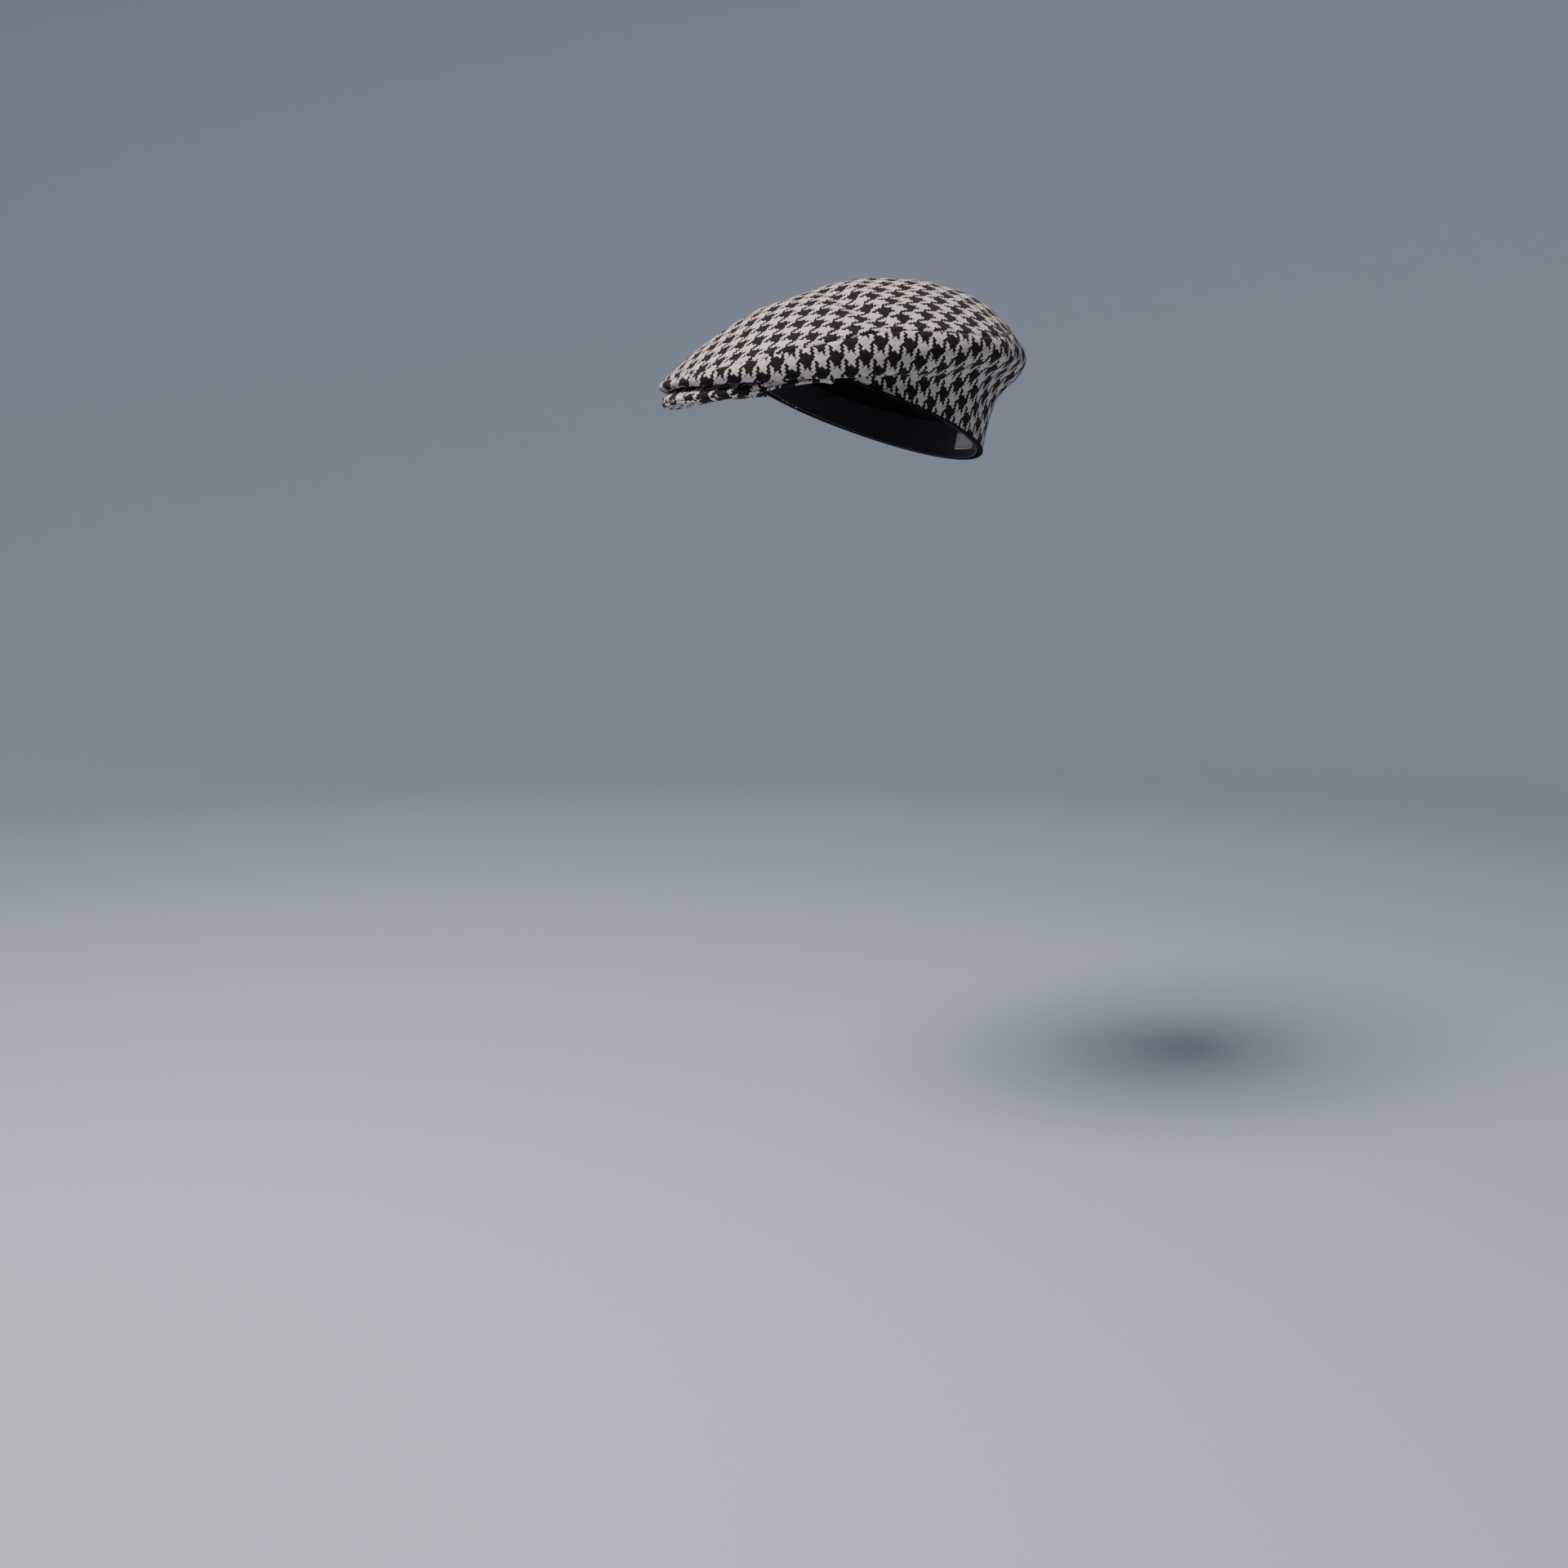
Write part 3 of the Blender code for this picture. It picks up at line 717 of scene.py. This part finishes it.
def make_lining():
    angles = ring_angles()
    shares = np.linspace(0, 1, LINING_STEPS)
    points, distance = crown_grid("lining", "top", angles, shares)
    normals = grid_normals(points, True)
    relief = 0.55 * dent_depth(points) + 0.9 * MM * waves(points, 42 * MM, 21) - 0.9 * MM
    relief[0] = relief[1].mean()
    points = points + normals * relief[..., None]
    flat = flat_top(points, distance[0] - distance)
    top = grid_mesh("lining_top_satin", thicken(points, True, (0.0, LINING)), True, True, flat)
    dress(top, "satin", "satin_lining", "crown", "lining_top")
    for side, word in ((1, "left"), (-1, "right")):
        angles = half_angles(side)
        points, distance = crown_grid("lining", "side", angles, shares)
        normals = grid_normals(points, False)
        free = np.sin(np.clip(distance / distance[-1], 0, 1) * math.pi)
        relief = (0.6 * waves(points, 30 * MM, 23) - 1.0) * MM * free + overhang_shape(points, angles)
        points = points + normals * relief[..., None]
        run = run_along(points)[:-1]
        flat = np.stack((np.broadcast_to(run, distance.shape), distance), -1)
        skins = thicken(points, False, (0.0, LINING))
        panel = grid_mesh(f"lining_side_satin_{word}", skins, False, False, flat)
        dress(panel, "satin", "satin_lining", "crown", f"lining_side_{word}")


def sweatband_grid(angles, shares):
    foot = ring_points(SWEATBAND_FOOT, angles)
    top = ring_points(SWEATBAND_TOP, angles)
    return (top + (foot - top) * np.asarray(shares)[:, None, None]) * MM


def make_sweatband():
    angles = ring_angles()
    shares = np.linspace(0, 1, BAND_STEPS)
    points = sweatband_grid(angles, shares)
    normals = grid_normals(points, True)
    free = (1 - shares)[:, None]
    relief = 0.45 * MM * waves(points, 38 * MM, 31) * free - 0.5 * MM * np.exp(-(free / 0.05) ** 2)
    points = points + normals * relief[..., None]
    run = run_along(points)
    drop = np.linspace(0, 0.03, len(shares))
    flat = np.stack(np.broadcast_arrays(run[None, :], drop[:, None]), -1)
    band = grid_mesh("sweatband_ribbed", thicken(points, True, (0.0, BAND)), True, False, flat)
    dress(band, "band", "sweatband_cloth", "crown", "sweatband")
    for share, name in ((0.9, "sweatband_stitches_low"), (0.1, "sweatband_stitches_top")):
        line = sweatband_grid(angles, (share - 0.02, share, share + 0.02))
        inward = -grid_normals(line, True)[1]
        stitches = stitch_row(name, line[1] + inward * (BAND + 0.15 * MM), inward, 3.2 * MM)
        dress(stitches, "thread", "woven_tape", "crown")


def stitch_row(name, path, normals, pitch, closed=True):
    """A row of separate short stitches of round thread that dip at both ends."""
    loop = np.concatenate((path, path[:1])) if closed else path
    facing = np.concatenate((normals, normals[:1])) if closed else normals
    lengths = np.concatenate(((0.0,), np.cumsum(np.linalg.norm(np.diff(loop, axis=0), axis=1))))
    count = int(lengths[-1] / pitch)
    sides = THREAD_SIDES
    verts = []
    faces = []
    for k in range(count):
        middle = (k + 0.5) * lengths[-1] / count
        places = middle + np.linspace(-0.36, 0.36, 5) * pitch
        centres = np.stack([np.interp(places, lengths, loop[:, a]) for a in range(3)], -1)
        out = np.stack([np.interp(places, lengths, facing[:, a]) for a in range(3)], -1)
        centres = centres + out * (np.array((-0.3, 0.0, 0.08, 0.0, -0.3)) * MM)[:, None]
        forward = centres[-1] - centres[0]
        forward /= np.linalg.norm(forward)
        sideways = np.cross(forward, out[2])
        sideways /= np.linalg.norm(sideways)
        start = len(verts)
        for centre, size in zip(centres, (0.5, 1.0, 1.1, 1.0, 0.5)):
            for s in range(sides):
                turn = FULL_TURN * s / sides
                spoke = math.cos(turn) * sideways + math.sin(turn) * out[2]
                verts.append(centre + THREAD_RADIUS * size * spoke)
        for ring in range(4):
            for s in range(sides):
                a = start + ring * sides + s
                b = start + ring * sides + (s + 1) % sides
                faces.append((a, b, b + sides, a + sides))
        faces.append([start + s for s in range(sides)][::-1])
        faces.append([start + 4 * sides + s for s in range(sides)])
    mesh = bpy.data.meshes.new(name)
    mesh.from_pydata([tuple(v) for v in verts], [], faces)
    mesh.shade_smooth()
    made = bpy.data.objects.new(name, mesh)
    bpy.context.scene.collection.objects.link(made)
    return made


def swept_ring(name, centres, outward, upward, section, run):
    """A closed ring of one cross-section, with cloth coordinates round and along it."""
    columns = len(centres)
    verts = np.array([centres + outward * out + upward * up for out, up in section])
    count = len(section)
    faces = []
    corners = []
    for k in range(count):
        for c in range(columns):
            after = (c + 1) % columns
            nxt = (k + 1) % count
            faces.append((k * columns + c, k * columns + after, nxt * columns + after, nxt * columns + c))
            corners += [(k, c), (k, c + 1), (k + 1, c + 1), (k + 1, c)]
    outline = np.array(section + section[:1])
    around = np.concatenate(((0.0,), np.cumsum(np.linalg.norm(np.diff(outline, axis=0), axis=1))))
    mesh = bpy.data.meshes.new(name)
    mesh.from_pydata(verts.reshape(-1, 3).tolist(), [], faces)
    index = np.array(corners)
    uv = np.stack((run[index[:, 1]], around[index[:, 0]]), -1)
    mesh.uv_layers.new(name="cloth").data.foreach_set("uv", uv.ravel())
    drop_loose(mesh)
    mesh.shade_smooth()
    made = bpy.data.objects.new(name, mesh)
    bpy.context.scene.collection.objects.link(made)
    return made


def binding_section():
    """A tape folded round the hem: two leaves with rounded bends at the bottom."""
    outer = BINDING_EASE
    inner = -CLOTH - BINDING_EASE
    middle = (outer + inner) / 2
    reach = outer + BINDING - middle
    section = [(outer, BINDING_OUTER_HEIGHT), (outer + BINDING, BINDING_OUTER_HEIGHT - 0.2 * MM)]
    for step in range(9):
        turn = math.pi * step / 8
        section.append((middle + reach * math.cos(turn), -0.5 * reach * math.sin(turn)))
    section += [(inner - BINDING, BINDING_INNER_HEIGHT - 0.2 * MM), (inner, BINDING_INNER_HEIGHT)]
    section += [(inner, -0.1 * MM), (outer, -0.1 * MM)]
    return section


def make_binding():
    angles = ring_angles()
    points, _ = crown_grid("cloth", "side", angles, np.array((0.90, 0.95, 1.0)))
    foot = points[-1]
    upward = points[0] - foot
    upward /= np.linalg.norm(upward, axis=1, keepdims=True)
    normals = grid_normals(points, True)[-1]
    outward = normals - upward * np.sum(normals * upward, axis=1, keepdims=True)
    outward /= np.linalg.norm(outward, axis=1, keepdims=True)
    tape = swept_ring("hem_binding_tape", foot, outward, upward, binding_section(), run_along(foot[None]))
    dress(tape, "tape", "woven_tape", "crown", "hem_binding")
    line = foot + upward * 2.0 * MM - outward * (CLOTH + BINDING_EASE + BINDING + 0.1 * MM)
    dress(stitch_row("hem_stitches", line, -outward, 2.8 * MM), "thread", "woven_tape", "crown")


def make_back_tape():
    """A tape over the centre-back seam, on the inside of the cloth."""
    angles = np.radians(np.linspace(180 - TAPE_HALF_ANGLE, 180 + TAPE_HALF_ANGLE, 7))
    points, distance = crown_grid("cloth", "side", angles, np.linspace(TAPE_START, TAPE_END, TAPE_STEPS))
    depth = CLOTH + 2 * GAP
    flat = np.stack(np.broadcast_arrays(run_along(points)[None, :len(angles)], distance), -1)
    skins = thicken(points, False, (depth, depth + TAPE))
    tape = grid_mesh("back_seam_tape_woven", skins, False, False, flat)
    dress(tape, "tape", "woven_tape", "crown", "back_seam_tape")


def make_label():
    """A blank woven label sewn to the sweatband at the back."""
    angles = np.radians(np.linspace(180 - LABEL_HALF_ANGLE, 180 + LABEL_HALF_ANGLE, 25))
    shares = np.linspace(*LABEL_SHARES, LABEL_STEPS)
    points = sweatband_grid(angles, shares)
    rise = BAND + LABEL_LIFT
    depths = (rise, rise + LABEL)
    run = run_along(points)[:-1]
    flat = np.stack(np.broadcast_arrays(run[None, :], np.linspace(0, LABEL_HEIGHT, LABEL_STEPS)[:, None]), -1)
    label = grid_mesh("size_label_blank", thicken(points, False, depths), False, False, flat)
    dress(label, "label", "blank_label", "crown", "size_label")
    normals = -grid_normals(points, False)
    for row, word in ((1, "top"), (-2, "low")):
        line = points[row] + normals[row] * (rise + 0.45 * MM)
        dress(stitch_row(f"label_stitches_{word}", line, normals[row], 2.2 * MM, closed=False),
              "thread", "woven_tape", "crown")


# ---------------------------------------------------------------- brim

def brim_middle(across, along):
    """The brim's middle surface: rows from the sewn edge to the free edge, columns from right to left."""
    across = np.asarray(across) * BRIM_SPAN
    along = np.asarray(along)
    angle = across * math.pi / 2
    ahead = np.maximum(np.cos(angle), 0) ** BRIM_SQUARENESS
    up = BRIM_TIP_UP + BRIM_CORNER_RISE * np.sin(angle) ** 6
    edge = np.stack((BRIM_HALF_WIDTH * np.sin(angle), BRIM_CORNER_Y - BRIM_REACH * ahead, up), -1)
    turn = across * math.radians(BRIM_REAR_ANGLE)
    outward = np.stack((np.sin(turn), -np.cos(turn), np.zeros_like(turn)), -1)
    root = ring_points(HEM, turn) + outward * BRIM_FROM_HEM - np.array((0.0, 0.0, BRIM_BELOW_HEM))
    return (root + (edge - root) * along[:, None, None]) * MM


BRIM_ACROSS = np.linspace(-1, 1, 181)


def brim_layers(alongs):
    middle = brim_middle(BRIM_ACROSS, alongs)
    return middle, grid_normals(middle, False)


def brim_edge_arc(start, end, count, puff):
    """Rows that wrap a cover round the free edge, between two angles from the brim's upper side."""
    middle, normals = brim_layers(np.array((0.90, 0.94, BRIM_FLAT_END)))
    centre = middle[-1]
    out = middle[-1] - middle[0]
    normal = normals[-1]
    out = out - normal * np.sum(out * normal, axis=1, keepdims=True)
    out /= np.linalg.norm(out, axis=1, keepdims=True)
    rows = []
    for turn in np.linspace(math.radians(start), math.radians(end), count):
        rows.append(centre + (out * math.sin(turn) + normal * math.cos(turn)) * puff)
    return np.array(rows)


def flat_brim(points, first, last):
    """Flat cloth coordinates of a brim cover: its plan between two rows, unrolled beyond them."""
    plan = points[..., :2].copy()
    steps = np.linalg.norm(np.diff(points, axis=0), axis=2)
    lengths = np.concatenate((np.zeros((1, points.shape[1])), np.cumsum(steps, axis=0)))
    before = (first, first + 3, range(first))
    beyond = (last, last - 3, range(last + 1, len(points)))
    for edge, inner, turned in (before, beyond):
        outward = plan[edge] - plan[inner]
        outward /= np.linalg.norm(outward, axis=1, keepdims=True)
        for row in turned:
            plan[row] = plan[edge] + outward * np.abs(lengths[row] - lengths[edge])[:, None]
    return plan


def make_brim():
    """The two wool covers, which meet in a seam under the free edge, round the plain board."""
    alongs = np.concatenate((np.linspace(0.0, 0.9, 40), np.linspace(0.91, BRIM_FLAT_END, 6)))
    middle, normals = brim_layers(alongs)
    soft = 0.25 * MM * waves(middle, 34 * MM, 41) + 0.15 * MM * waves(middle, 14 * MM, 43)
    thick = BRIM_HALF_THICKNESS
    upper = middle + normals * (thick + soft)[..., None]
    lower = middle - normals * (thick + soft)[..., None]
    flange_up = np.array((0.0, 0.0, 1.0))
    flange = np.array([upper[0] + flange_up * height * MM for height in BRIM_FLANGE_HEIGHTS])
    wrap = brim_edge_arc(8, BRIM_EDGE_SEAM_ANGLE, 12, thick)
    roll = brim_edge_arc(BRIM_EDGE_SEAM_ANGLE + 2, 172, 6, thick)
    wrap[-1] -= (wrap[-1] - middle[-1]) * BRIM_SEAM_SINK
    roll[0] -= (roll[0] - middle[-1]) * BRIM_SEAM_SINK
    top = np.concatenate((flange, upper, wrap))
    under = np.concatenate((roll, lower[::-1]))
    top_flat = flat_brim(top, len(flange), len(flange) + len(upper) - 1)
    under_flat = flat_brim(under, len(roll), len(under) - 1)
    for name, points, uv, node, flat, area in (
            ("brim_top_wool", top, top_flat, "brim_top_cover", (0.165, 0.125), 0.0125),
            ("brim_under_wool", under, under_flat, "brim_under_cover", (0.160, 0.110), 0.0105)):
        cover = grid_mesh(name, thicken(points, False, (0.0, BRIM_COVER)), False, False, uv)
        dress(cover, "wool", "houndstooth_wool", "brim", node)


# ---------------------------------------------------------------- pieces kept as they are in the frame

def colour_frame_nodes(look, *nodes):
    for node in nodes:
        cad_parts[node].data.materials.clear()
        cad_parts[node].data.materials.append(LOOKS[look])


# ---------------------------------------------------------------- studio

FLOOR_LEVEL = -0.62
FLOOR_RADIUS = 2.2
CURVE_RADIUS = 1.3
CURVE_STEPS = 12
WALL_TOP = 3.2
BOWL_SIDES = 96


def make_bowl():
    """A pale seamless studio: a flat floor that curves up into a wall all round."""
    n = Nodes("studio_paper")
    n.finish((0.50, 0.56, 0.66, 1), 0.95, specular=0.1)
    sides = BOWL_SIDES
    profile = [(0.0, FLOOR_LEVEL), (1.0, FLOOR_LEVEL), (FLOOR_RADIUS, FLOOR_LEVEL)]
    for step in range(1, CURVE_STEPS + 1):
        turn = math.pi / 2 * step / CURVE_STEPS
        profile.append((FLOOR_RADIUS + CURVE_RADIUS * math.sin(turn),
                        FLOOR_LEVEL + CURVE_RADIUS * (1 - math.cos(turn))))
    profile.append((FLOOR_RADIUS + CURVE_RADIUS, WALL_TOP))
    verts = [(0.0, 0.0, FLOOR_LEVEL)]
    for out, up in profile[1:]:
        verts += [(out * math.cos(FULL_TURN * s / sides), out * math.sin(FULL_TURN * s / sides), up)
                  for s in range(sides)]
    faces = [(0, 1 + s, 1 + (s + 1) % sides) for s in range(sides)]
    for ring in range(len(profile) - 2):
        base = 1 + ring * sides
        faces += [(base + s, base + sides + s, base + sides + (s + 1) % sides, base + (s + 1) % sides)
                  for s in range(sides)]
    mesh = bpy.data.meshes.new("studio_bowl")
    mesh.from_pydata(verts, [], faces)
    mesh.materials.append(n.material)
    mesh.shade_smooth()
    bowl = bpy.data.objects.new("studio_bowl", mesh)
    bpy.context.scene.collection.objects.link(bowl)


def area_light(name, place, target, size, power, colour):
    data = bpy.data.lights.new(name, "AREA")
    data.shape = "DISK"
    data.size = size
    data.energy = power
    data.color = colour
    light = bpy.data.objects.new(name, data)
    light.location = place
    direction = np.array(target) - np.array(place)
    light.rotation_euler = Vector(direction).to_track_quat("-Z", "Y").to_euler()
    bpy.context.scene.collection.objects.link(light)


def make_lights():
    centre = (0.0, -0.01, 0.04)
    area_light("key", (0.35, -1.05, 1.5), centre, 0.8, 61.0, (1.0, 0.965, 0.925))
    area_light("fill", (1.5, 0.9, 0.6), centre, 1.6, 1.3, (1.0, 0.92, 0.84))
    area_light("back", (-1.3, 0.7, 1.2), centre, 1.2, 0.7, (1.0, 0.97, 0.94))
    world = bpy.data.worlds.new("studio_air")
    world.use_nodes = True
    world.node_tree.nodes["Background"].inputs["Color"].default_value = (0.97, 0.96, 1.0, 1)
    world.node_tree.nodes["Background"].inputs["Strength"].default_value = 0.19
    bpy.context.scene.world = world


CAMERA_AZIMUTH = math.radians(65.0)
CAMERA_ELEVATION = math.radians(-5.5)
CAMERA_DISTANCE = 1.30
CAMERA_TARGET = np.array((0.0, -0.012, 0.0315))
LENS_WIDTHS = 1.039
TARGET_RIGHT = 0.0372
TARGET_UP = 0.2657


def make_camera():
    """The camera sees the target off its centre by those shares of the picture, with no roll."""
    azimuth, elevation = CAMERA_AZIMUTH, CAMERA_ELEVATION
    away = np.array((math.sin(azimuth) * math.cos(elevation), -math.cos(azimuth) * math.cos(elevation),
                     math.sin(elevation)))
    data = bpy.data.cameras.new("camera")
    data.sensor_width = 36.0
    data.lens = 36.0 * LENS_WIDTHS
    data.clip_start = 0.05
    seen = np.array((TARGET_RIGHT, TARGET_UP, -LENS_WIDTHS))
    seen /= np.linalg.norm(seen)
    reach = math.hypot(seen[1], seen[2])
    pitch = math.asin(-away[2] / reach) - math.atan2(seen[1], -seen[2])
    ahead = -seen[2] * math.cos(pitch) - seen[1] * math.sin(pitch)
    yaw = math.atan2(-away[1], -away[0]) + math.atan2(seen[0], ahead)
    camera = bpy.data.objects.new("camera", data)
    camera.location = CAMERA_TARGET + away * CAMERA_DISTANCE
    camera.rotation_euler = (math.pi / 2 + pitch, 0.0, yaw - math.pi / 2)
    bpy.context.scene.collection.objects.link(camera)
    bpy.context.scene.camera = camera


make_camera()
make_top()
make_side(1, "left")
make_side(-1, "right")
make_lining()
make_sweatband()
make_binding()
make_back_tape()
make_label()
make_brim()
colour_frame_nodes("board", "brim_board")
colour_frame_nodes("brass", "press_stud_ball", "press_stud_socket")
make_bowl()
make_lights()
